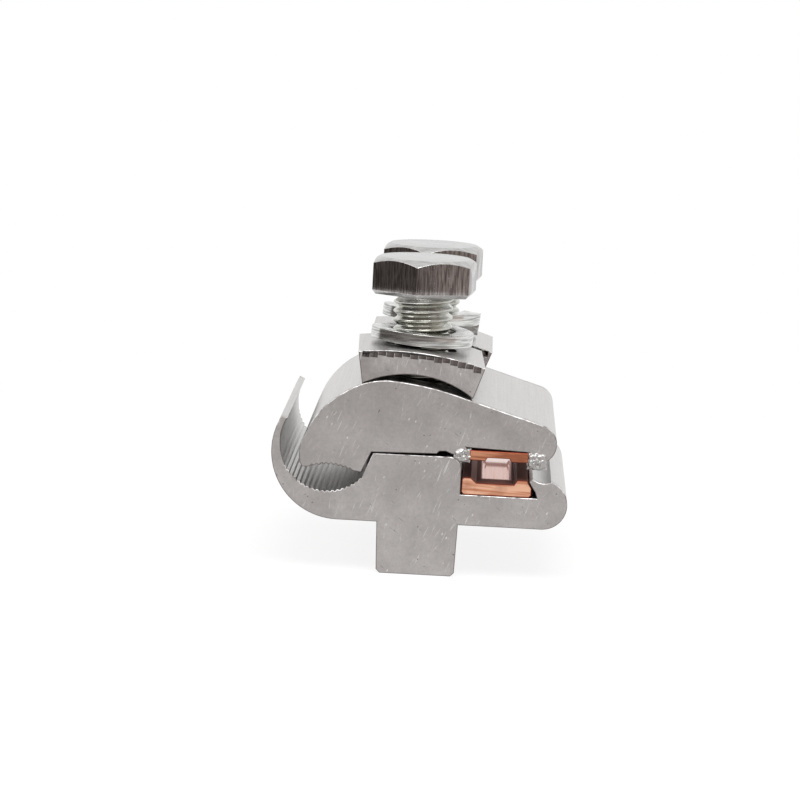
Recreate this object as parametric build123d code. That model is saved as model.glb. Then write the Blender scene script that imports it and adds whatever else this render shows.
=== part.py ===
from build123d import *
from math import cos, sin, radians, pi
import os

# Two-bolt bimetallic parallel groove clamp, in millimetres.
# X runs across the two conductors, Y along them, Z up the bolts.
# The origin is the centre of the stem's foot.

# Extruded bars
BODY_LENGTH = 40.0
STEM_HALF_WIDTH = 5.2
ARM_UNDERSIDE = 6.85
BLOCK_TOP = 16.05
BLOCK_ROUND = 1.6

# Open groove for the aluminium conductor
HOOK_CENTRE = (-10.7, 15.9)
HOOK_RADIUS = 9.05
GROOVE_CENTRE = (-12.35, 17.0)
GROOVE_RADIUS = 6.25
SERRATION_START = 189
HOOK_TIP_ANGLE = 150.5
SERRATION_DEPTH = 0.22
SERRATION_PITCH = 0.64

# Channel for the copper conductor
SLOT_FLOOR = 11.1
LOWER_LOBE_CENTRE = (16.4, 10.25)
LOWER_LOBE_RADIUS = 3.3
UPPER_LOBE_CENTRE = (15.3, 18.3)
UPPER_LOBE_RADIUS = 2.6
SLOT_CEILING = 17.15

# Bolts, M8
FRONT_BOLT = (-0.8, -10.0)
REAR_BOLT = (-0.1, 10.0)
THREAD_DIAMETER = 8.0
TAPPED_HOLE = 8.1
CLEARANCE_HOLE = 10.0
BOLT_LENGTH = 35.0
HEAD_HEIGHT = 5.0
HEAD_ACROSS_FLATS = 13.0
HEAD_UNDERSIDE = 36.35
HEAD_TURN = 6.7

# Arched saddles
SADDLE_DEPTH = 18.6
SADDLE_CREST = 5.1
SADDLE_SHOULDER = 8.45
SADDLE_FOOT = 7.4
CHATTER_COUNT = 15
SADDLE_HOLE = 9.6
FRONT_SADDLE_SEAT = (-1.15, 24.5)
FRONT_SADDLE_TILT = 5.3
REAR_SADDLE_SEAT = (-0.1, 24.45)
REAR_SADDLE_TILT = 7.0

# Split spring washers
WASHER_INNER_RADIUS = 4.35
WASHER_OUTER_RADIUS = 6.85
WASHER_THICKNESS = 1.6
WASHER_SWEEP = 350


def on_circle(centre, radius, angle):
    return (centre[0] + radius * cos(radians(angle)), centre[1] + radius * sin(radians(angle)))


def serrated_arc(centre, radius, start, end):
    """Points of a row of V teeth that follows an arc, the crests on the arc."""
    count = round(abs(radians(end - start)) * radius / SERRATION_PITCH)
    step = (end - start) / count
    points = [on_circle(centre, radius, start)]
    for i in range(count):
        # the first teeth, near the smooth upper wall, are shallow
        depth = SERRATION_DEPTH * min(1, (i + 1) / 5)
        points.append(on_circle(centre, radius + depth, start + (i + 0.5) * step))
        points.append(on_circle(centre, radius, start + (i + 1) * step))
    return points


def bar(edges, length=BODY_LENGTH):
    """Extrude a closed XZ outline evenly to both sides of y = 0."""
    face = make_face([Plane.XZ * edge for edge in edges])
    return extrude(face, amount=length / 2, both=True)


def bolt_holes(diameter):
    return [Pos(x, y, 20) * Cylinder(diameter / 2, 60) for x, y in (FRONT_BOLT, REAR_BOLT)]


def make_base_body():
    tip_outer = on_circle(HOOK_CENTRE, HOOK_RADIUS, HOOK_TIP_ANGLE - 0.5)
    tip_inner = on_circle(GROOVE_CENTRE, GROOVE_RADIUS, HOOK_TIP_ANGLE)
    smooth_end = on_circle(GROOVE_CENTRE, GROOVE_RADIUS, SERRATION_START)
    smooth_mid = on_circle(GROOVE_CENTRE, GROOVE_RADIUS, 163)
    teeth = serrated_arc(GROOVE_CENTRE, GROOVE_RADIUS, SERRATION_START, 320)
    lobe = LOWER_LOBE_CENTRE
    lobe_foot = (lobe[0], ARM_UNDERSIDE + 0.1)
    lobe_shoulder = on_circle(lobe, LOWER_LOBE_RADIUS, 72)
    edges = [
        Polyline((-STEM_HALF_WIDTH - 0.2, ARM_UNDERSIDE), (-STEM_HALF_WIDTH, 0.5), (-STEM_HALF_WIDTH + 0.5, 0),
                 (STEM_HALF_WIDTH - 0.5, 0), (STEM_HALF_WIDTH, 0.5), (STEM_HALF_WIDTH + 0.2, ARM_UNDERSIDE + 0.1),
                 lobe_foot),
        ThreePointArc(lobe_foot, on_circle(lobe, LOWER_LOBE_RADIUS, -9), lobe_shoulder),
        # lobe valley, dovetail lip and slot floor
        ThreePointArc(lobe_shoulder, (16.2, 13.15), (14.95, 13.7)),
        Polyline((14.95, 13.7), (14.5, 13.2), (14.8, 12.7), (15.35, 11.9), (15.6, SLOT_FLOOR),
                 (5.5, SLOT_FLOOR), (5.45, BLOCK_TOP - BLOCK_ROUND)),
        RadiusArc((5.45, BLOCK_TOP - BLOCK_ROUND), (5.45 - BLOCK_ROUND, BLOCK_TOP), -BLOCK_ROUND),
        # block top, and the slope down into the conductor groove
        Polyline((5.45 - BLOCK_ROUND, BLOCK_TOP), (-6.3, BLOCK_TOP - 0.05), teeth[-1]),
        Polyline(*reversed(teeth)),
        ThreePointArc(smooth_end, smooth_mid, tip_inner),
        Line(tip_inner, tip_outer),
        ThreePointArc(tip_outer, on_circle(HOOK_CENTRE, HOOK_RADIUS, 205),
                      (HOOK_CENTRE[0], HOOK_CENTRE[1] - HOOK_RADIUS)),
        Line((HOOK_CENTRE[0], HOOK_CENTRE[1] - HOOK_RADIUS), (-STEM_HALF_WIDTH - 0.2, ARM_UNDERSIDE)),
    ]
    return bar(edges) - bolt_holes(TAPPED_HOLE)


def make_keeper():
    jaw_start, jaw_end = (-8.9, 13.5), (-14.6, 13.75)
    count = round((jaw_start[0] - jaw_end[0]) / SERRATION_PITCH)
    jaw = [jaw_start]
    for i in range(count):
        half, whole = (i + 0.5) / count, (i + 1) / count
        # the row is slightly hollow, and its roots stand above its crests
        for t, rise in ((half, SERRATION_DEPTH), (whole, 0)):
            x = jaw_start[0] + (jaw_end[0] - jaw_start[0]) * t
            z = jaw_start[1] + (jaw_end[1] - jaw_start[1]) * t + 0.5 * sin(pi * t) + rise
            jaw.append((x, z))
    lobe_top = on_circle(UPPER_LOBE_CENTRE, UPPER_LOBE_RADIUS, 74)
    lobe_foot = on_circle(UPPER_LOBE_CENTRE, UPPER_LOBE_RADIUS, -50)
    edges = [
        Polyline(*jaw),
        Polyline(jaw[-1], (-15.6, 13.7), (-15.95, 14.3)),
        # back of the left lobe, shoulder, crown and the long fall to the right lobe
        ThreePointArc((-15.95, 14.3), (-16.0, 16.1), (-15.4, 17.9)),
        ThreePointArc((-15.4, 17.9), (-13.6, 21.15), (-10.4, 23.9)),
        ThreePointArc((-10.4, 23.9), (-7.6, 25.3), (-4.7, 25.75)),
        ThreePointArc((-4.7, 25.75), (0.2, 25.2), (5.4, 23.9)),
        Line((5.4, 23.9), lobe_top),
        ThreePointArc(lobe_top, on_circle(UPPER_LOBE_CENTRE, UPPER_LOBE_RADIUS, 10), lobe_foot),
        # right lip, slot ceiling and left lip
        Polyline(lobe_foot, (16.1, 15.7), (15.4, 15.4), (14.9, 15.0), (14.45, 15.0), (14.33, 15.2),
                 (14.33, SLOT_CEILING), (5.95, SLOT_CEILING + 0.25), (6.4, 16.9), (6.4, 15.4), (5.5, 15.4),
                 (4.5, 16.3)),
        # step over the block, its seat, and the slope beside it
        Polyline((4.5, 16.3), (3.9, 16.5), (3.3, 16.75), (2.45, 16.7), (2.1, 16.35),
                 (-6.5, 16.12), (-7.75, 13.35), jaw_start),
    ]
    return bar(edges) - bolt_holes(CLEARANCE_HOLE)


def make_lower_copper_insert():
    return bar([Polyline((5.9, 11.13), (14.55, 11.13), (14.85, 11.43), (14.85, 12.4), (14.4, 13.1), (14.3, 13.4),
                         (12.9, 13.4), (12.5, 12.75), (7.55, 12.75), (6.8, 13.4), (5.85, 13.4), (5.6, 13.15),
                         (5.6, 11.43), close=True)])


def make_upper_copper_insert():
    return bar([Polyline((6.45, 17.08), (6.45, 15.75), (8.6, 15.75), (8.85, 16.15), (11.75, 16.15),
                         (12.0, 15.75), (14.27, 15.75), (14.27, 17.08), close=True)])


def chatter_marks():
    """Row of short dents that the shear left under the top edge of a saddle's front end."""
    marks = []
    for i in range(CHATTER_COUNT):
        x = SADDLE_SHOULDER * 1.88 * ((i + 0.5) / CHATTER_COUNT - 0.5)
        top = SADDLE_CREST - 0.9 * (x / SADDLE_SHOULDER) ** 2 - 0.14
        height = 0.7 + 0.12 * sin(2.3 * i)
        marks.append(Pos(x, -SADDLE_DEPTH / 2 - 0.38, top - height / 2) * Cylinder(0.62, height))
    return marks


def make_saddle(seat, tilt, y_mid, bolt, yaw=0.0):
    """A sheared length of an arched bar, standing on its two edges over the crown."""
    edges = [
        ThreePointArc((-SADDLE_FOOT, 0), (0, 2.1), (SADDLE_FOOT, 0)),
        Line((SADDLE_FOOT, 0), (SADDLE_SHOULDER, 4.2)),
        ThreePointArc((SADDLE_SHOULDER, 4.2), (0, SADDLE_CREST), (-SADDLE_SHOULDER, 4.2)),
        Line((-SADDLE_SHOULDER, 4.2), (-SADDLE_FOOT, 0)),
    ]
    saddle = bar(edges, SADDLE_DEPTH) - chatter_marks()
    saddle = Pos(seat[0], y_mid, seat[1]) * Rot(0, tilt, 0) * Rot(0, 0, yaw) * saddle
    return saddle - Pos(bolt[0], bolt[1], 27) * Cylinder(SADDLE_HOLE / 2, 20)


def make_spring_washer(seat, tilt, bolt, gap_angle, rise):
    """One turn of a square-edged coil lying on a saddle, cut at gap_angle, its free end raised."""
    radius = (WASHER_INNER_RADIUS + WASHER_OUTER_RADIUS) / 2
    path = Helix(pitch=rise * 360 / WASHER_SWEEP, height=rise, radius=radius)
    section = Plane(path @ 0, x_dir=(1, 0, 0), z_dir=path % 0)
    section *= Rectangle(WASHER_OUTER_RADIUS - WASHER_INNER_RADIUS, WASHER_THICKNESS)
    coil = sweep(section, path=path, is_frenet=True)
    height = SADDLE_CREST + WASHER_THICKNESS / 2 - 0.06
    offset = bolt[0] - seat[0] - height * sin(radians(tilt))
    return Pos(seat[0], bolt[1], seat[1]) * Rot(0, tilt, 0) * Pos(offset, 0, height) * Rot(0, 0, gap_angle) * coil


def make_bolt(position):
    """Hex bolt with a chamfered head, shown as a plain major-diameter shank."""
    head = extrude(RegularPolygon(HEAD_ACROSS_FLATS / 2, 6, major_radius=False, rotation=30), HEAD_HEIGHT)
    head = chamfer(head.faces().sort_by(Axis.Z)[0].edges(), 0.55, 0.42)
    corner = HEAD_ACROSS_FLATS / 2 / cos(pi / 6) + 0.01
    outline = Polyline((0, 0), (corner, 0), (corner, HEAD_HEIGHT - 0.85), (HEAD_ACROSS_FLATS / 2 * 0.93, HEAD_HEIGHT),
                       (0, HEAD_HEIGHT), close=True)
    head &= revolve(make_face(Plane.XZ * outline), Axis.Z)
    shank = Pos(0, 0, -BOLT_LENGTH / 2) * Cylinder(THREAD_DIAMETER / 2, BOLT_LENGTH)
    shank = chamfer(shank.edges().sort_by(Axis.Z)[0], 0.8)
    return Pos(position[0], position[1], HEAD_UNDERSIDE) * Rot(0, 0, -HEAD_TURN) * (head + shank)


parts = {
    "base_body": make_base_body(),
    "keeper": make_keeper(),
    "lower_copper_insert": make_lower_copper_insert(),
    "upper_copper_insert": make_upper_copper_insert(),
    "front_saddle": make_saddle(FRONT_SADDLE_SEAT, FRONT_SADDLE_TILT, -10.2, FRONT_BOLT, yaw=2.0),
    "rear_saddle": make_saddle(REAR_SADDLE_SEAT, REAR_SADDLE_TILT, 10.2, REAR_BOLT),
    "front_spring_washer": make_spring_washer(FRONT_SADDLE_SEAT, FRONT_SADDLE_TILT, FRONT_BOLT, 125, 1.2),
    "rear_spring_washer": make_spring_washer(REAR_SADDLE_SEAT, REAR_SADDLE_TILT, REAR_BOLT, 3, 1.7),
    "front_bolt": make_bolt(FRONT_BOLT),
    "rear_bolt": make_bolt(REAR_BOLT),
}

os.makedirs("parts", exist_ok=True)
for name, solid in parts.items():
    export_step(solid, f"parts/{name}.step")
    print(name, round(solid.volume, 1), solid.bounding_box())
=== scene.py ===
import bpy
import bmesh
from math import radians, cos, sin, pi
from mathutils import Matrix, Vector, Quaternion, noise as noiseMath


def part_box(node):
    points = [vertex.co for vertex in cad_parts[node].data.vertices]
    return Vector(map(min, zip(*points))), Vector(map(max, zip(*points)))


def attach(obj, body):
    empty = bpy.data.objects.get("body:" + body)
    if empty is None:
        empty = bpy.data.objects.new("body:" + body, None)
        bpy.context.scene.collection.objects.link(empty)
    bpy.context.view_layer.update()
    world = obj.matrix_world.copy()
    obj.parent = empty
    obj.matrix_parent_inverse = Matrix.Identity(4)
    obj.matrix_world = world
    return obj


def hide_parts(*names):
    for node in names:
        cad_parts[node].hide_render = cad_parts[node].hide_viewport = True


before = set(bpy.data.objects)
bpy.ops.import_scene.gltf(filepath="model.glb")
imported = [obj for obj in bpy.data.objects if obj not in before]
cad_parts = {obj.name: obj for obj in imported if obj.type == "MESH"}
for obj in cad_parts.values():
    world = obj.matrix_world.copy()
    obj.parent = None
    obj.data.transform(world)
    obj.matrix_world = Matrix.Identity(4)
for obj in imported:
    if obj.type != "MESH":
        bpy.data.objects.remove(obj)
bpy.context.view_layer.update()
scene = bpy.context.scene
mm = 0.001

print("clamp: camera")

camera = {
    "place": (0.0074, -0.4547, 0.084),
    "lookAt": (-0.00307, -0.02, 0.02325),
    "rollDegrees": 2.86,
    "lens": 150.1,
    "sensorWidth": 36,
    "clip": (0.01, 20),
}


def addCamera(c):
    data = bpy.data.cameras.new("viewCamera")
    data.lens = c["lens"]
    data.sensor_width = c["sensorWidth"]
    data.clip_start, data.clip_end = c["clip"]
    obj = bpy.data.objects.new("viewCamera", data)
    scene.collection.objects.link(obj)
    place = Vector(c["place"])
    aim = (Vector(c["lookAt"]) - place).to_track_quat("-Z", "Y")
    turn = aim @ Quaternion((0, 0, 1), radians(c["rollDegrees"]))
    obj.matrix_world = Matrix.Translation(place) @ turn.to_matrix().to_4x4()
    scene.camera = obj


addCamera(camera)


def newMaterial(name):
    material = bpy.data.materials.new(name)
    material.use_nodes = True
    tree = material.node_tree
    return material, tree, tree.nodes["Principled BSDF"]


def addNode(tree, kind, **values):
    node = tree.nodes.new(kind)
    for key, value in values.items():
        setattr(node, key, value)
    return node


def feed(tree, socket, value):
    # a socket takes either another node's output or a plain value
    if isinstance(value, bpy.types.NodeSocket):
        tree.links.new(value, socket)
    else:
        socket.default_value = value


def mathNode(tree, operation, a, b=0.0, clamp=False):
    node = addNode(tree, "ShaderNodeMath", operation=operation, use_clamp=clamp)
    feed(tree, node.inputs[0], a)
    feed(tree, node.inputs[1], b)
    return node.outputs[0]


def plus(tree, a, b):
    return mathNode(tree, "ADD", a, b)


def minus(tree, a, b):
    return mathNode(tree, "SUBTRACT", a, b)


def times(tree, a, b):
    return mathNode(tree, "MULTIPLY", a, b)


def larger(tree, a, b):
    return mathNode(tree, "MAXIMUM", a, b)


def between(tree, mask, low, high):
    return plus(tree, times(tree, mask, high - low), low)


def mixColor(tree, factor, a, b):
    node = addNode(tree, "ShaderNodeMix", data_type="RGBA")
    feed(tree, node.inputs[0], factor)
    for socket, value in ((node.inputs[6], a), (node.inputs[7], b)):
        feed(tree, socket, value + (1,) if isinstance(value, tuple) else value)
    return node.outputs[2]


def axes(tree, vector):
    node = addNode(tree, "ShaderNodeSeparateXYZ")
    feed(tree, node.inputs[0], vector)
    return node.outputs


def noise(tree, vector, scale, detail, rough):
    node = addNode(tree, "ShaderNodeTexNoise")
    values = {"Vector": vector, "Scale": scale, "Detail": detail, "Roughness": rough}
    for label, value in values.items():
        feed(tree, node.inputs[label], value)
    return node.outputs["Fac"]


def ramp(tree, value, low, high):
    node = addNode(tree, "ShaderNodeMapRange", clamp=True)
    feed(tree, node.inputs["Value"], value)
    feed(tree, node.inputs["From Min"], low)
    feed(tree, node.inputs["From Max"], high)
    return node.outputs[0]


def turned(tree, vector, angle, stretch):
    # a pattern is turned about Y, the clamp's long axis, then stretched
    about = addNode(tree, "ShaderNodeCombineXYZ")
    feed(tree, about.inputs[1], angle)
    turn = addNode(tree, "ShaderNodeMapping", vector_type="POINT")
    feed(tree, turn.inputs["Vector"], vector)
    feed(tree, turn.inputs["Rotation"], about.outputs[0])
    sized = addNode(tree, "ShaderNodeMapping", vector_type="POINT")
    feed(tree, sized.inputs["Vector"], turn.outputs[0])
    feed(tree, sized.inputs["Scale"], stretch)
    return sized.outputs[0]


def inMillimetres(tree):
    coordinate = addNode(tree, "ShaderNodeTexCoord")
    scaled = addNode(tree, "ShaderNodeVectorMath", operation="SCALE")
    scaled.inputs["Scale"].default_value = 1 / mm
    feed(tree, scaled.inputs[0], coordinate.outputs["Object"])
    return scaled.outputs[0], coordinate.outputs["Normal"]


def addBump(tree, shader, height, strength, depth):
    bump = addNode(tree, "ShaderNodeBump")
    bump.inputs["Strength"].default_value = strength
    bump.inputs["Distance"].default_value = depth * mm
    feed(tree, bump.inputs["Height"], height)
    feed(tree, shader.inputs["Normal"], bump.outputs[0])


def newGroup(name, inputs, outputs):
    group = bpy.data.node_groups.new(name, "ShaderNodeTree")
    for label, default in inputs.items():
        kind = "NodeSocketVector" if isinstance(default, tuple) else "NodeSocketFloat"
        group.interface.new_socket(label, in_out="INPUT", socket_type=kind).default_value = default
    for label in outputs:
        group.interface.new_socket(label, in_out="OUTPUT", socket_type="NodeSocketFloat")
    return group, group.nodes.new("NodeGroupInput").outputs, group.nodes.new("NodeGroupOutput").inputs


def useGroup(tree, group, vector, **values):
    node = addNode(tree, "ShaderNodeGroup", node_tree=group)
    feed(tree, node.inputs[0], vector)
    for label, value in values.items():
        node.inputs[label].default_value = value
    return node.outputs


# effects that several finishes share, each with its own inputs
sharedEffects = {
    "scratchDetail": 2.0,
    "scratchRoughness": 0.6,
    "scratchContrast": 30.0,
    "pitContrast": 18.0,
    "facingRange": (0.6, 0.9),  # how squarely a face looks along the bar
    "edgeFull": 0.3,
    "edgeFade": (0.95, 0.998),
}


def buildScratches(s):
    # thin straight scratches, all leaning one way
    group, given, out = newGroup(
        "scratches",
        {"Vector": (0, 0, 0), "Lean": 0.3, "Across": 5.0, "Along": 0.3, "Threshold": 0.66},
        ["Mask"])
    turn = addNode(group, "ShaderNodeVectorRotate", rotation_type="Y_AXIS")
    feed(group, turn.inputs["Vector"], given["Vector"])
    feed(group, turn.inputs["Angle"], given["Lean"])
    size = addNode(group, "ShaderNodeCombineXYZ")
    for socket, label in zip(size.inputs, ("Across", "Across", "Along")):
        feed(group, socket, given[label])
    stretch = addNode(group, "ShaderNodeVectorMath", operation="MULTIPLY")
    feed(group, stretch.inputs[0], turn.outputs[0])
    feed(group, stretch.inputs[1], size.outputs[0])
    value = noise(group, stretch.outputs[0], 1.0, s["scratchDetail"], s["scratchRoughness"])
    above = minus(group, value, given["Threshold"])
    feed(group, out["Mask"], mathNode(group, "MULTIPLY", above, s["scratchContrast"], clamp=True))
    return group


def buildPits(s):
    # small round pits, only some of the cells hold one
    group, given, out = newGroup(
        "pits",
        {"Vector": (0, 0, 0), "Density": 1.0, "Radius": 0.1, "Share": 0.3},
        ["Mask"])
    cells = addNode(group, "ShaderNodeTexVoronoi")
    feed(group, cells.inputs["Vector"], given["Vector"])
    feed(group, cells.inputs["Scale"], given["Density"])
    inside = minus(group, given["Radius"], cells.outputs["Distance"])
    inside = mathNode(group, "MULTIPLY", inside, s["pitContrast"], clamp=True)
    parted = addNode(group, "ShaderNodeSeparateColor")
    feed(group, parted.inputs[0], cells.outputs["Color"])
    chosen = mathNode(group, "LESS_THAN", parted.outputs[0], given["Share"])
    feed(group, out["Mask"], times(group, inside, chosen))
    return group


def buildGrain():
    # clouds, or lines where the stretch differs by axis, as a value and as a mask over a range
    group, given, out = newGroup(
        "grain",
        {"Vector": (0, 0, 0), "Turn": 0.0, "Stretch": (1, 1, 1), "Scale": 1.0,
         "Detail": 3.0, "Roughness": 0.55, "Low": 0.3, "High": 0.7},
        ["Value", "Mask"])
    pattern = turned(group, given["Vector"], given["Turn"], given["Stretch"])
    value = noise(group, pattern, given["Scale"], given["Detail"], given["Roughness"])
    feed(group, out["Value"], value)
    feed(group, out["Mask"], ramp(group, value, given["Low"], given["High"]))
    return group


def buildBarEnds(s):
    # facing is 1 on a sawn end, and edge is 1 on the bevel round it
    group, given, out = newGroup("barEnds", {"Normal": (0, 0, 0), "From": 0.1}, ["Facing", "Edge"])
    across = mathNode(group, "ABSOLUTE", axes(group, given["Normal"])[1])
    feed(group, out["Facing"], ramp(group, across, *s["facingRange"]))
    starts = ramp(group, across, given["From"], s["edgeFull"])
    fades = ramp(group, across, *s["edgeFade"])
    feed(group, out["Edge"], times(group, starts, minus(group, 1.0, fades)))
    return group


scratchGroup = buildScratches(sharedEffects)
pitGroup = buildPits(sharedEffects)
grainGroup = buildGrain()
barEndGroup = buildBarEnds(sharedEffects)


def grain(tree, vector, g, turn=0.0, stretch=(1, 1, 1)):
    scale, detail, rough, low, high = g
    outputs = useGroup(tree, grainGroup, vector, Turn=turn, Stretch=stretch, Scale=scale,
                       Detail=detail, Roughness=rough, Low=low, High=high)
    return outputs["Value"], outputs["Mask"]


def pits(tree, vector, p):
    density, radius, share = p
    return useGroup(tree, pitGroup, vector, Density=density, Radius=radius, Share=share)["Mask"]


print("clamp: finishes")

aluminium = {
    "cutColor": (0.48, 0.455, 0.445),
    "cutLight": (0.575, 0.55, 0.54),
    "sideColor": (0.60, 0.59, 0.58),
    "grimeColor": (0.2, 0.19, 0.18),
    "lineColor": (0.3, 0.29, 0.28),
    # painted shade: a darker band on the sides beside the sawn ends
    "endShadeColor": (0.22, 0.20, 0.19),
    "scratchColor": (0.95, 0.94, 0.93),
    # painted highlight over a bright burr on the top of a sawn end's bevel, and painted shade under
    # it
    "pitColor": (0.10, 0.09, 0.085),
    "burrHighlightColor": (0.97, 0.96, 0.95),
    "undersideEdgeShade": (0.22, 0.20, 0.19),
    "cutRoughness": 0.46,
    "sideRoughness": 0.34,
    "roughnessSpread": 0.25,
    # noise scale per mm, detail, roughness, and the range that the mask runs over
    "broad": (0.22, 4.0, 0.55, 0.35, 0.65),
    "mottle": (1.6, 3.0, 0.7, 0.35, 0.6),
    "fine": (4.5, 2.0, 0.7, 0.3, 0.7),
    "lines": (1.0, 3.0, 0.6, 0.35, 0.7),
    "endShadeGrain": (1.0, 3.0, 0.55, 0.36, 0.6),
    "gather": (0.13, 2.0, 0.55, 0.42, 0.56),
    "burrHighlight": (0.8, 3.0, 0.55, 0.34, 0.6),
    "lineStretch": (4.0, 0.05, 4.0),
    "endShadeStretch": (1.2, 0.25, 1.2),
    "barEnd": 20.0,
    "endShadeReach": (1.6, 0.5),  # the painted shade beside the bar's ends starts and is full so far from the end, in mm
    # lean, frequency across and along, threshold: three light sets, then a dark one
    "scratchSets": ((0.0, 3.4, 0.24, 0.645), (-0.22, 5.0, 0.4, 0.66),
                    (0.3, 4.4, 0.3, 0.675), (1.3, 4.0, 0.45, 0.68)),
    "gatherLeast": 0.25,
    # density per mm, radius, share of the cells
    "nicks": (1.1, 0.13, 0.3),
    "pits": (1.0, 0.12, 0.4),
    "nickStretch": (1.0, 1.0, 0.5),
    "edgeFrom": 0.08,
    "upward": (-0.05, 0.2),
    # how strongly each mark colours the metal
    "mottleShare": 0.15,
    "fineShare": 0.22,
    "lineShare": 0.2,
    "endShadeShare": 0.6,
    "scratchShare": 0.42,
    "darkScratchShare": 0.45,
    "nickShare": 0.5,
    "pitShare": 0.75,
    # how much each mark adds to the relief
    "mottleHeight": 0.6,
    "scratchHeight": 0.6,
    "pitDepth": 1.2,
    "lineHeight": 0.8,
    "bump": (0.4, 0.05),  # strength, depth in mm
}


def aluminiumMaterial(name, a, lean):
    material, tree, shader = newMaterial(name)
    place, normal = inMillimetres(tree)
    ends = useGroup(tree, barEndGroup, normal, From=a["edgeFrom"])

    broadMask = grain(tree, place, a["broad"])[1]
    mottle, mottleMask = grain(tree, place, a["mottle"])
    fine, fineMask = grain(tree, place, a["fine"])
    cut = mixColor(tree, broadMask, a["cutColor"], a["cutLight"])
    cut = mixColor(tree, mottleMask, mixColor(tree, a["mottleShare"], cut, a["grimeColor"]), cut)
    cut = mixColor(tree, fineMask, mixColor(tree, a["fineShare"], cut, a["grimeColor"]), cut)

    # extrusion lines run the length of the bar, and a band beside its ends is darkened as painted
    # shade
    lines, lineMask = grain(tree, place, a["lines"], stretch=a["lineStretch"])
    side = mixColor(tree, a["lineShare"], a["sideColor"], a["lineColor"])
    side = mixColor(tree, lineMask, side, a["sideColor"])
    fromMiddle = mathNode(tree, "ABSOLUTE", axes(tree, place)[1])
    begins, full = (a["barEnd"] - reach for reach in a["endShadeReach"])
    endShaded = times(tree, ramp(tree, fromMiddle, begins, full),
                    grain(tree, place, a["endShadeGrain"], stretch=a["endShadeStretch"])[1])
    side = mixColor(tree, times(tree, endShaded, a["endShadeShare"]), side, a["endShadeColor"])
    color = mixColor(tree, ends["Facing"], side, cut)

    # light scratches come in patches, with a few dark ones across them
    sets = [useGroup(tree, scratchGroup, place, Lean=lean + leanBy, Across=across, Along=along,
                     Threshold=threshold)["Mask"]
            for leanBy, across, along, threshold in a["scratchSets"]]
    light = larger(tree, larger(tree, sets[0], sets[1]), sets[2])
    gathered = grain(tree, place, a["gather"])[1]
    light = times(tree, light, between(tree, gathered, a["gatherLeast"], 1.0))
    color = mixColor(tree, times(tree, light, a["scratchShare"]), color, a["scratchColor"])
    color = mixColor(tree, times(tree, sets[3], a["darkScratchShare"]), color, a["pitColor"])
    nickMask = pits(tree, turned(tree, place, lean, a["nickStretch"]), a["nicks"])
    color = mixColor(tree, times(tree, nickMask, a["nickShare"]), color, a["scratchColor"])
    pitMask = pits(tree, place, a["pits"])
    color = mixColor(tree, times(tree, pitMask, a["pitShare"]), color, a["pitColor"])

    # the bevel along a sawn end is painted: a bright burr with a painted highlight above, and painted
    # shade on the dark edge below
    upward = ramp(tree, axes(tree, normal)[2], *a["upward"])
    burrHighlight = times(tree, upward, grain(tree, place, a["burrHighlight"])[1])
    edgeColor = mixColor(tree, burrHighlight, a["undersideEdgeShade"], a["burrHighlightColor"])
    feed(tree, shader.inputs["Base Color"], mixColor(tree, ends["Edge"], color, edgeColor))

    rough = between(tree, ends["Facing"], a["sideRoughness"], a["cutRoughness"])
    rough = plus(tree, rough, times(tree, minus(tree, fine, 0.5), a["roughnessSpread"]))
    feed(tree, shader.inputs["Roughness"], rough)
    shader.inputs["Metallic"].default_value = 1.0

    height = plus(tree, times(tree, mottle, a["mottleHeight"]),
                  times(tree, light, a["scratchHeight"]))
    height = minus(tree, height, times(tree, larger(tree, pitMask, sets[3]), a["pitDepth"]))
    height = plus(tree, height, times(tree, lines, a["lineHeight"]))
    addBump(tree, shader, height, *a["bump"])
    return material


copper = {
    "bright": (0.96, 0.56, 0.38),
    "dull": (0.68, 0.29, 0.17),
    # painted reflection: the pale pink of the groove's floor along its middle
    "groove": (0.70, 0.50, 0.45),
    # tarnish in the cut faces' stains, painted shade off the groove's middle and near its ends, and
    # the colour of the bevels
    "tarnishAndShade": (0.26, 0.06, 0.035),
    "roughness": 0.05,
    "shadedRoughness": 0.5,
    "cutRoughness": 0.36,
    # noise scale per mm, detail, roughness, and the range that the mask runs over
    "drawn": (1.0, 2.0, 0.55, 0.5, 0.7),
    "stain": (0.45, 2.0, 0.55, 0.5, 0.7),
    "sawn": (1.0, 2.0, 0.55, 0.4, 0.56),
    "drawnStretch": (3.0, 0.06, 3.0),
    "sawnStretch": (0.12, 1.0, 2.2),
    "sawnTurn": -0.04,
    "darkFrom": 15.6,  # along the bar from its middle, in mm
    "darkFade": 1.0,
    "grooveCentre": 10.15,
    "shinyHalf": 1.8,
    "shinyFade": 0.3,
    "edgeFrom": 0.1,
    "stainShare": 0.35,
    "drawnShare": 0.4,
    "shadeShare": 0.8,
    "bump": (0.3, 0.02),  # strength, depth in mm
}


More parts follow.
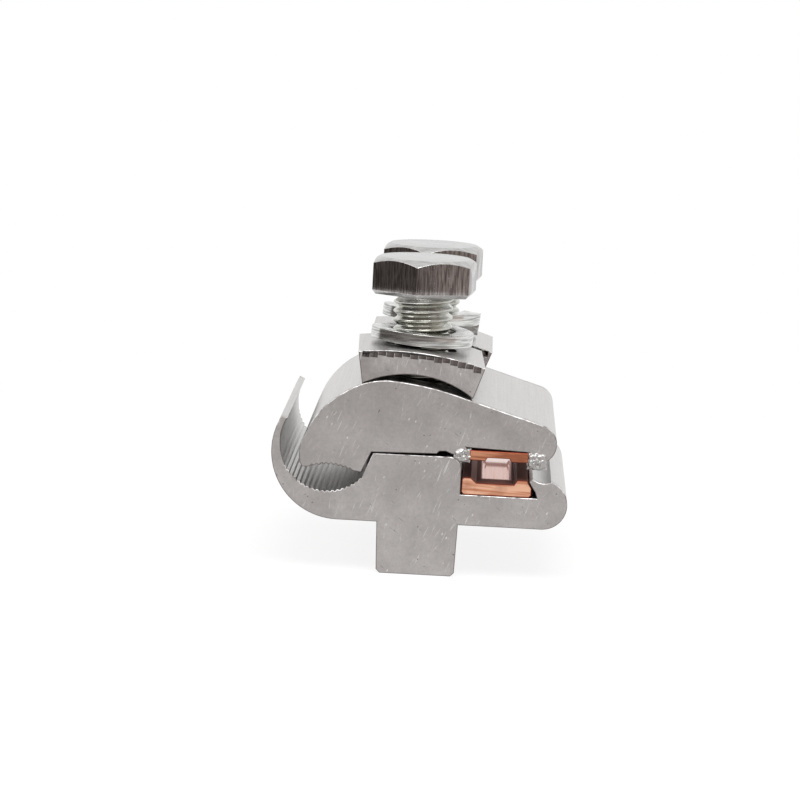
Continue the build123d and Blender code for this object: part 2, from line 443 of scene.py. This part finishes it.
def copperMaterial(name, c):
    material, tree, shader = newMaterial(name)
    place, normal = inMillimetres(tree)
    ends = useGroup(tree, barEndGroup, normal, From=c["edgeFrom"])
    facing = ends["Facing"]

    drawnMask = grain(tree, place, c["drawn"], stretch=c["drawnStretch"])[1]
    stainMask = grain(tree, place, c["stain"])[1]
    sawn, sawnMask = grain(tree, place, c["sawn"], c["sawnTurn"], c["sawnStretch"])
    cut = mixColor(tree, sawnMask, c["dull"], c["bright"])
    cut = mixColor(tree, times(tree, stainMask, c["stainShare"]), cut, c["tarnishAndShade"])
    side = mixColor(tree, times(tree, drawnMask, c["drawnShare"]), c["groove"], c["dull"])

    # painted reflection and shade: the groove keeps a pale pink painted reflection along its middle
    # line, and painted shade darkens it off that line and near its ends, where it is also rougher
    x, y, z = axes(tree, place)
    nearEnd = ramp(tree, mathNode(tree, "ABSOLUTE", y), c["darkFrom"], c["darkFrom"] + c["darkFade"])
    offCentre = mathNode(tree, "ABSOLUTE", minus(tree, x, c["grooveCentre"]))
    offCentre = ramp(tree, offCentre, c["shinyHalf"], c["shinyHalf"] + c["shinyFade"])
    paintedShadeAndRoughness = larger(tree, nearEnd, offCentre)
    side = mixColor(tree, times(tree, paintedShadeAndRoughness, c["shadeShare"]), side, c["tarnishAndShade"])
    color = mixColor(tree, facing, side, cut)
    feed(tree, shader.inputs["Base Color"], mixColor(tree, ends["Edge"], color, c["tarnishAndShade"]))
    shader.inputs["Metallic"].default_value = 1.0

    rough = between(tree, paintedShadeAndRoughness, c["roughness"], c["shadedRoughness"])
    rough = plus(tree, times(tree, facing, c["cutRoughness"]),
                 times(tree, rough, minus(tree, 1.0, facing)))
    feed(tree, shader.inputs["Roughness"], rough)
    addBump(tree, shader, times(tree, sawn, facing), *c["bump"])
    return material


zinc = {
    "specks": (2.2, 0.13),  # density per mm, radius
    "speckColor": (0.85, 0.84, 0.82),
    "speckShare": 0.55,
    "speckHeight": 0.5,
    # noise scale per mm, detail, roughness, and the range that the mask runs over
    "streaks": (1.0, 2.0, 0.6, 0.36, 0.62),
    "cloud": (0.35, 3.0, 0.55, 0.4, 0.7),
    "cloudRoughness": 0.06,  # either side of the plate's own
    "bumpStrength": 0.6,
    "yellow": (0.74, 0.74, 0.60),
}

headTop = dict(zinc, color=(0.58, 0.575, 0.57), shade=(0.44, 0.435, 0.43), stretch=(0.5, 2.6, 1.0),
               roughness=0.24, relief=0.004, speckled=0.1, yellowShare=0.0)
# painted shade: the flats are a darker copy of the head's zinc plate
shadedHeadFlats = dict(zinc, color=(0.34, 0.315, 0.305), shade=(0.12, 0.10, 0.095), stretch=(4.5, 4.5, 0.4),
                 roughness=0.12, relief=0.002, speckled=0.7, yellowShare=0.0)
threadPlate = dict(zinc, color=(0.62, 0.62, 0.59), shade=(0.34, 0.34, 0.315), stretch=(0.5, 0.5, 4.0),
                   roughness=0.16, relief=0.004, speckled=0.15, yellowShare=0.3)
washerPlate = dict(zinc, color=(0.72, 0.72, 0.70), shade=(0.33, 0.33, 0.32), stretch=(0.3, 0.3, 5.0),
                   roughness=0.18, relief=0.010, speckled=0.3, yellowShare=0.0)


def zincMaterial(name, z):
    material, tree, shader = newMaterial(name)
    place = inMillimetres(tree)[0]
    streaks, streakMask = grain(tree, place, z["streaks"], stretch=z["stretch"])
    cloud, cloudMask = grain(tree, place, z["cloud"])
    plate = mixColor(tree, streakMask, z["shade"], z["color"])
    if z["yellowShare"]:
        plate = mixColor(tree, times(tree, cloudMask, z["yellowShare"]), plate, z["yellow"])
    specks = pits(tree, place, z["specks"] + (z["speckled"],))
    plate = mixColor(tree, times(tree, specks, z["speckShare"]), plate, z["speckColor"])
    feed(tree, shader.inputs["Base Color"], plate)
    shader.inputs["Metallic"].default_value = 1.0
    spread = z["cloudRoughness"]
    rough = between(tree, cloud, z["roughness"] - spread, z["roughness"] + spread)
    feed(tree, shader.inputs["Roughness"], rough)
    height = plus(tree, streaks, times(tree, specks, z["speckHeight"]))
    addBump(tree, shader, height, z["bumpStrength"], z["relief"])
    return material


# a darker copy of the aluminium for the chatter dents: painted shade in their recesses
shadedDents = dict(aluminium, cutColor=(0.13, 0.10, 0.10), cutLight=(0.21, 0.17, 0.17),
                    sideColor=(0.17, 0.14, 0.14), scratchColor=(0.35, 0.32, 0.31),
                    burrHighlightColor=(0.15, 0.12, 0.12))
# the lips' burr and underside colours are the bevels' painted highlight and painted shade
stakedMetal = dict(aluminium, cutColor=(0.42, 0.41, 0.40), cutLight=(0.72, 0.71, 0.70),
                   burrHighlightColor=(0.66, 0.65, 0.64), undersideEdgeShade=(0.40, 0.39, 0.38), cutRoughness=0.4)
saddleBar = dict(aluminium, cutLight=(0.68, 0.65, 0.64), barEnd=60.0)  # the painted shade beside the ends lies beyond it
# painted shade: the upper strip takes a darker copy of the copper
upperInsert = dict(copper, bright=(0.72, 0.34, 0.20), dull=(0.42, 0.15, 0.08))

bodyAluminium = aluminiumMaterial("sawnAluminium", aluminium, -0.36)
chatterShadeAluminium = aluminiumMaterial("shadedChatterAluminium", shadedDents, 0.0)
lipAluminium = aluminiumMaterial("stakedAluminium", stakedMetal, 0.0)
saddleAluminium = aluminiumMaterial("saddleAluminium", saddleBar, -0.1)
copperMetal = copperMaterial("drawnCopper", copper)
shadedCopper = copperMaterial("shadedCopper", upperInsert)
headZinc = zincMaterial("zincPlatedHead", headTop)
shadedFlatZinc = zincMaterial("zincPlatedFlatsShaded", shadedHeadFlats)
threadZinc = zincMaterial("zincPlatedThread", threadPlate)
washerZinc = zincMaterial("zincPlatedWasher", washerPlate)

mergeDistance = 1e-6
squareTo = 0.99  # a face's normal along an axis, where it counts as square to it


def mergedCopy(node):
    # a solid's mesh is loose triangles, so its copy is merged first
    bm = bmesh.new()
    bm.from_mesh(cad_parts[node].data)
    bmesh.ops.remove_doubles(bm, verts=bm.verts, dist=mergeDistance)
    return bm


def dissolveFlats(bm, degrees):
    bmesh.ops.dissolve_limit(bm, angle_limit=radians(degrees), verts=bm.verts, edges=bm.edges)


def edgesOver(bm, degrees):
    return [e for e in bm.edges if e.is_manifold and e.calc_face_angle(0) > radians(degrees)]


def breakEdges(bm, edges, width, segments, clamped):
    bmesh.ops.bevel(bm, geom=edges, offset=width * mm, offset_type="OFFSET", affect="EDGES",
                    segments=segments, profile=0.5, material=-1, clamp_overlap=clamped)


def closeHoles(bm):
    bmesh.ops.holes_fill(bm, edges=[e for e in bm.edges if e.is_boundary], sides=0)


def shadeByAngle(bm, degrees):
    for face in bm.faces:
        face.smooth = True
    for edge in bm.edges:
        edge.smooth = not (edge.is_manifold and edge.calc_face_angle(0) > radians(degrees))


def addPiece(name, bm, body, materials, node=None):
    mesh = bpy.data.meshes.new(name)
    bm.to_mesh(mesh)
    bm.free()
    piece = bpy.data.objects.new(name, mesh)
    scene.collection.objects.link(piece)
    for material in materials:
        mesh.materials.append(material)
    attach(piece, body)
    if node:
        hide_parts(node)


bodyBar = {
    "body": "base",
    "materials": [bodyAluminium],
    "slot": "aluminium_body",
    "bevel": 0.12,
    "bevelSegments": 2,
    "dissolveDegrees": 0.4,
    "sharpDegrees": 50,
    "leastFace": 1.0,  # square mm, so that teeth and dents keep their edges
    "endNormal": 0.98,  # a face this square to the bar counts as its sawn end
    "smoothDegrees": 32,
    "leanStep": 0.08,  # faces that lean apart by more meet at a sharp edge
}
keeperBar = dict(bodyBar, body="keeper")
lowerInsertBar = dict(bodyBar, materials=[copperMetal], slot="copper")
upperInsertBar = dict(bodyBar, body="keeper", materials=[shadedCopper], slot="copper")
saddle = dict(bodyBar, body="keeper", materials=[saddleAluminium, chatterShadeAluminium],
              slot="aluminium_saddle", dentDepth=(0.004, 0.3))


def flattenEnds(bm, leanStep):
    # the sawn ends stay flat, and no bevel's normal leaks over them or along the bar
    for face in bm.faces:
        if abs(face.normal.y) > squareTo:
            face.smooth = False
    for edge in bm.edges:
        if edge.is_manifold:
            one, other = edge.link_faces
            if abs(abs(one.normal.y) - abs(other.normal.y)) > leanStep:
                edge.smooth = False


def shadeChatterDents(bm, shallow, deep, leastFace):
    # the dents of the sheared end are painted darker, painted shade in their recesses
    end = max((f for f in bm.faces if f.normal.y < -squareTo), key=lambda f: f.calc_area())
    for face in bm.faces:
        depth = (end.calc_center_median() - face.calc_center_median()).dot(end.normal)
        if shallow * mm < depth < deep * mm and face.calc_area() < leastFace * mm * mm:
            face.material_index = 1


def dressBar(node, b):
    # a merged copy of the solid, its sawn ends broken by a small bevel
    bm = mergedCopy(node)
    dissolveFlats(bm, b["dissolveDegrees"])
    if "dentDepth" in b:
        shadeChatterDents(bm, *b["dentDepth"], b["leastFace"])
    sharp = [e for e in edgesOver(bm, b["sharpDegrees"])
             if any(abs(f.normal.y) > b["endNormal"] for f in e.link_faces)
             and all(f.calc_area() > b["leastFace"] * mm * mm for f in e.link_faces)]
    breakEdges(bm, sharp, b["bevel"], b["bevelSegments"], False)
    shadeByAngle(bm, b["smoothDegrees"])
    flattenEnds(bm, b["leanStep"])
    addPiece(node + "_dressed", bm, b["body"], b["materials"], node)


dressBar("base_body", bodyBar)
dressBar("keeper", keeperBar)
dressBar("lower_copper_insert", lowerInsertBar)
dressBar("upper_copper_insert", upperInsertBar)
dressBar("front_saddle", saddle)
dressBar("rear_saddle", saddle)
print("clamp: bars and saddles")

stakedLips = {
    # centre x, centre z, half width, half height, seed
    "left": (5.45, 16.35, 1.15, 0.9, 3),
    "right": (15.4, 16.05, 1.3, 1.15, 8),
    "barEnd": 20.0,
    "segments": 36,
    "proud": 0.16,
    "depth": 0.7,
    "squareness": 2.6,
    "ragged": (0.22, 2.1),  # amount, frequency
    "falloff": 5,
    "crumpleScale": 1.25,
    "crumpleOctaves": 4,
    "swell": (0.35, 1.1),  # plain part, crumpled part
    "sunkRim": 0.12,
    "wobble": (0.12, 1.3),  # amount, frequency
    "smoothDegrees": 60,
}


def stakeOne(bm, s, side, end):
    # one patch of punched metal over the strip's corner, at one end of the bar
    x, z, wide, high, seed = s[side]
    power = s["squareness"]
    ragged, raggedScale = s["ragged"]
    plain, crumpled = s["swell"]
    wobbleBy, wobbleScale = s["wobble"]
    grid = bmesh.ops.create_grid(bm, x_segments=s["segments"], y_segments=s["segments"], size=1.0)
    for vert in grid["verts"]:
        u, v = vert.co.x, vert.co.y
        outline = Vector((u * raggedScale, v * raggedScale, seed * 3))
        reach = (abs(u) ** power + abs(v) ** power) ** (1 / power) + ragged * noiseMath.noise(outline)
        inner = max(0.0, 1 - max(0.0, reach) ** s["falloff"])
        spot = Vector((u * wide * s["crumpleScale"], v * high * s["crumpleScale"], seed + end))
        crumple = noiseMath.turbulence(spot, s["crumpleOctaves"], True, noise_basis="VORONOI_F2F1")
        swell = s["proud"] * inner * (plain + crumpled * crumple) - s["sunkRim"] * (1 - inner)
        wobble = wobbleBy * noiseMath.noise(spot * wobbleScale)
        vert.co = Vector(((x + (u + wobble) * wide) * mm, end * (s["barEnd"] + swell) * mm,
                          (z + (v + wobble) * high) * mm))


def addStakedLips(s):
    # the keeper's slot edges are punched down over the ends of the copper strip
    bm = bmesh.new()
    for side in ("left", "right"):
        for end in (-1, 1):
            stakeOne(bm, s, side, end)
    # each patch is closed into a lump that reaches back into the jaw
    rims = [e for e in bm.edges if e.is_boundary]
    pulled = bmesh.ops.extrude_edge_only(bm, edges=rims)["geom"]
    for vert in (v for v in pulled if isinstance(v, bmesh.types.BMVert)):
        vert.co.y -= s["depth"] * mm * (1 if vert.co.y > 0 else -1)
    closeHoles(bm)
    bmesh.ops.recalc_face_normals(bm, faces=bm.faces)
    shadeByAngle(bm, s["smoothDegrees"])
    addPiece("staked_lips", bm, "keeper", [lipAluminium])


addStakedLips(stakedLips)
print("clamp: staked lips")

bolt = {
    "pitch": 1.25,
    "majorRadius": 4.0,
    "minorRadius": 3.44,
    # depth below the crest or above the root in mm, and place along the pitch
    "crestRound": (0.02, 0.09),
    "crestShoulder": (0.1, 0.15),
    "rootRound": (0.06, 0.4),
    "threadTop": 36.5,
    "turns": 27,
    "stepsPerTurn": 64,
    "threadSmoothDegrees": 40,
    "headUnderside": 36.36,
    "cutTolerance": 1e-7,
    "headEdge": 0.09,
    "headEdgeSegments": 2,
    "dissolveDegrees": 0.4,
    "sharpDegrees": 14,
    "smoothDegrees": 30,
    "flatLean": 0.1,  # a face of the head that leans less is one of its flats
    "slot": "zinc_plated_steel",
}


def cutHead(node, b):
    # the head is cut from a merged copy of the solid, and its flats take a darker copy of the plate,
    # painted shade
    head = mergedCopy(node)
    bmesh.ops.bisect_plane(head, geom=head.verts[:] + head.edges[:] + head.faces[:],
                           dist=b["cutTolerance"], plane_co=(0, 0, b["headUnderside"] * mm),
                           plane_no=(0, 0, 1), clear_inner=True)
    closeHoles(head)
    dissolveFlats(head, b["dissolveDegrees"])
    for face in head.faces:
        face.material_index = int(abs(face.normal.z) < b["flatLean"])
    breakEdges(head, edgesOver(head, b["sharpDegrees"]), b["headEdge"], b["headEdgeSegments"], True)
    shadeByAngle(head, b["smoothDegrees"])
    return head


def cutThread(node, b):
    # one pitch of the thread's flank is spun up the shank
    low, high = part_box(node)
    centre = (low + high) / 2
    crest, root = b["majorRadius"], b["minorRadius"]
    pitch = b["pitch"] * mm
    bottom = b["threadTop"] * mm - (b["turns"] + 0.5) * pitch
    flank = [(crest, 0.0), (crest - b["crestRound"][0], b["crestRound"][1]),
             (crest - b["crestShoulder"][0], b["crestShoulder"][1]),
             (root + b["rootRound"][0], b["rootRound"][1]), (root, 0.5)]
    profile = [(r, -h) for r, h in reversed(flank[1:])] + flank
    screw = bmesh.new()
    row = [screw.verts.new((centre.x + r * mm, centre.y, bottom + h * pitch)) for r, h in profile]
    line = [screw.edges.new(pair) for pair in zip(row, row[1:])]
    bmesh.ops.spin(screw, geom=row + line, cent=(centre.x, centre.y, 0), axis=(0, 0, 1),
                   dvec=(0, 0, pitch / b["stepsPerTurn"]), angle=2 * pi * b["turns"],
                   steps=b["turns"] * b["stepsPerTurn"], use_merge=False)
    bmesh.ops.remove_doubles(screw, verts=screw.verts, dist=mergeDistance)
    closeHoles(screw)
    bmesh.ops.recalc_face_normals(screw, faces=screw.faces)
    shadeByAngle(screw, b["threadSmoothDegrees"])
    return screw


for name in ("front_bolt", "rear_bolt"):
    addPiece(name + "_thread", cutThread(name, bolt), name, [threadZinc], name)
    addPiece(name + "_head", cutHead(name, bolt), name, [headZinc, shadedFlatZinc], name)
print("clamp: bolts")

washer = {
    "dissolveDegrees": 0.2,
    "sharpDegrees": 50,
    "edge": 0.2,
    "edgeSegments": 3,
    "smoothDegrees": 35,
    "slot": "spring_steel",
}


def dressWasher(node, w):
    bm = mergedCopy(node)
    dissolveFlats(bm, w["dissolveDegrees"])
    breakEdges(bm, edgesOver(bm, w["sharpDegrees"]), w["edge"], w["edgeSegments"], True)
    shadeByAngle(bm, w["smoothDegrees"])
    addPiece(node + "_dressed", bm, "keeper", [washerZinc], node)


dressWasher("front_spring_washer", washer)
dressWasher("rear_spring_washer", washer)
print("clamp: washers")


def addStagePiece(name, bm):
    mesh = bpy.data.meshes.new(name)
    bm.to_mesh(mesh)
    bm.free()
    obj = bpy.data.objects.new(name, mesh)
    scene.collection.objects.link(obj)
    return obj


def seenOrMirrored(tree):
    # 1 for rays from the camera, off metal and through glass, 0 for the light that falls on things
    path = addNode(tree, "ShaderNodeLightPath").outputs
    seen = larger(tree, path["Is Camera Ray"], path["Is Glossy Ray"])
    return larger(tree, seen, path["Is Transmission Ray"])


floorStage = {
    "radius": 0.15,
    "segments": 96,
    "color": (0.9, 0.9, 0.9, 1),
    "roughness": 0.9,
    "glow": 1.03,
    "glowShare": 0.8,  # the rest keeps the clamp's shadow
}


def addFloor(f):
    bm = bmesh.new()
    bmesh.ops.create_circle(bm, cap_ends=True, segments=f["segments"], radius=f["radius"])
    floor = addStagePiece("floor", bm)
    material, tree, shader = newMaterial("paleFloor")
    shader.inputs["Base Color"].default_value = f["color"]
    shader.inputs["Roughness"].default_value = f["roughness"]
    glow = addNode(tree, "ShaderNodeEmission")
    glow.inputs["Strength"].default_value = f["glow"]
    mix = addNode(tree, "ShaderNodeMixShader")
    feed(tree, mix.inputs[0], times(tree, seenOrMirrored(tree), f["glowShare"]))
    feed(tree, mix.inputs[1], shader.outputs[0])
    feed(tree, mix.inputs[2], glow.outputs[0])
    feed(tree, tree.nodes["Material Output"].inputs["Surface"], mix.outputs[0])
    floor.data.materials.append(material)


roomScreen = {
    "radius": 0.9,
    "bottom": -0.4,
    "top": 0.42,
    "leftDegrees": 112,
    "rightDegrees": 82,
    "steps": 40,
    "color": (0.02, 0.018, 0.016, 1),
    "tint": (1.0, 0.90, 0.86, 1),
    "glow": 0.26,
    "rightGlow": 0.75,
    "leftGlow": 0.12,
    # where the glow changes, in shares of the radius
    "rightFrom": 0.45,
    "rightTo": 0.98,
    "leftFrom": -0.4,
    "leftTo": -0.8,
}


def addScreen(s):
    # the unlit room in front of the clamp, seen only in its reflections
    radius = s["radius"]
    start = radians(s["leftDegrees"])
    bm = bmesh.new()
    bottom = bm.verts.new((-radius * sin(start), -radius * cos(start), s["bottom"]))
    top = bm.verts.new((bottom.co.x, bottom.co.y, s["top"]))
    edge = bm.edges.new((bottom, top))
    bmesh.ops.spin(bm, geom=[bottom, top, edge], cent=(0, 0, 0), axis=(0, 0, 1), dvec=(0, 0, 0),
                   angle=start + radians(s["rightDegrees"]), steps=s["steps"], use_merge=False)
    screen = addStagePiece("roomScreen", bm)
    material, tree, shader = newMaterial("darkRoom")
    shader.inputs["Base Color"].default_value = s["color"]
    shader.inputs["Emission Color"].default_value = s["tint"]
    # the room is darkest at the far left, dim straight ahead, and opens to the right
    coordinate = addNode(tree, "ShaderNodeTexCoord")
    x = axes(tree, coordinate.outputs["Object"])[0]
    right = ramp(tree, x, s["rightFrom"] * radius, s["rightTo"] * radius)
    left = ramp(tree, x, s["leftFrom"] * radius, s["leftTo"] * radius)
    glow = between(tree, right, s["glow"], s["rightGlow"])
    glow = minus(tree, glow, times(tree, left, s["glow"] - s["leftGlow"]))
    feed(tree, shader.inputs["Emission Strength"], glow)
    screen.data.materials.append(material)
    screen.visible_camera = False
    screen.visible_shadow = False


studioWorld = {
    "color": (1, 1, 1, 1),
    "strength": 0.75,
}


def addWorld(w):
    world = bpy.data.worlds.new("studio")
    scene.world = world
    world.use_nodes = True
    tree = world.node_tree
    background = tree.nodes["Background"]
    background.inputs["Color"].default_value = w["color"]
    strength = between(tree, seenOrMirrored(tree), w["strength"], 1.0)
    feed(tree, background.inputs["Strength"], strength)


topLamp = {
    "place": (0.05, -0.32, 0.58),
    "aim": (0, 0, 0.02),
    "size": (0.4, 0.4),
    "power": 2.5,
}
leftLamp = dict(topLamp, place=(-0.5, -0.25, 0.45), size=(0.3, 0.3), power=0.8)


def addLamp(name, given):
    data = bpy.data.lights.new(name, "AREA")
    data.shape = "RECTANGLE"
    data.size, data.size_y = given["size"]
    data.energy = given["power"]
    lamp = bpy.data.objects.new(name, data)
    scene.collection.objects.link(lamp)
    place = Vector(given["place"])
    turn = (Vector(given["aim"]) - place).to_track_quat("-Z", "Y")
    lamp.matrix_world = Matrix.Translation(place) @ turn.to_matrix().to_4x4()


addFloor(floorStage)
addScreen(roomScreen)
addWorld(studioWorld)
addLamp("topLamp", topLamp)
addLamp("leftLamp", leftLamp)

scene.view_settings.view_transform = "Standard"
print("clamp: stage")
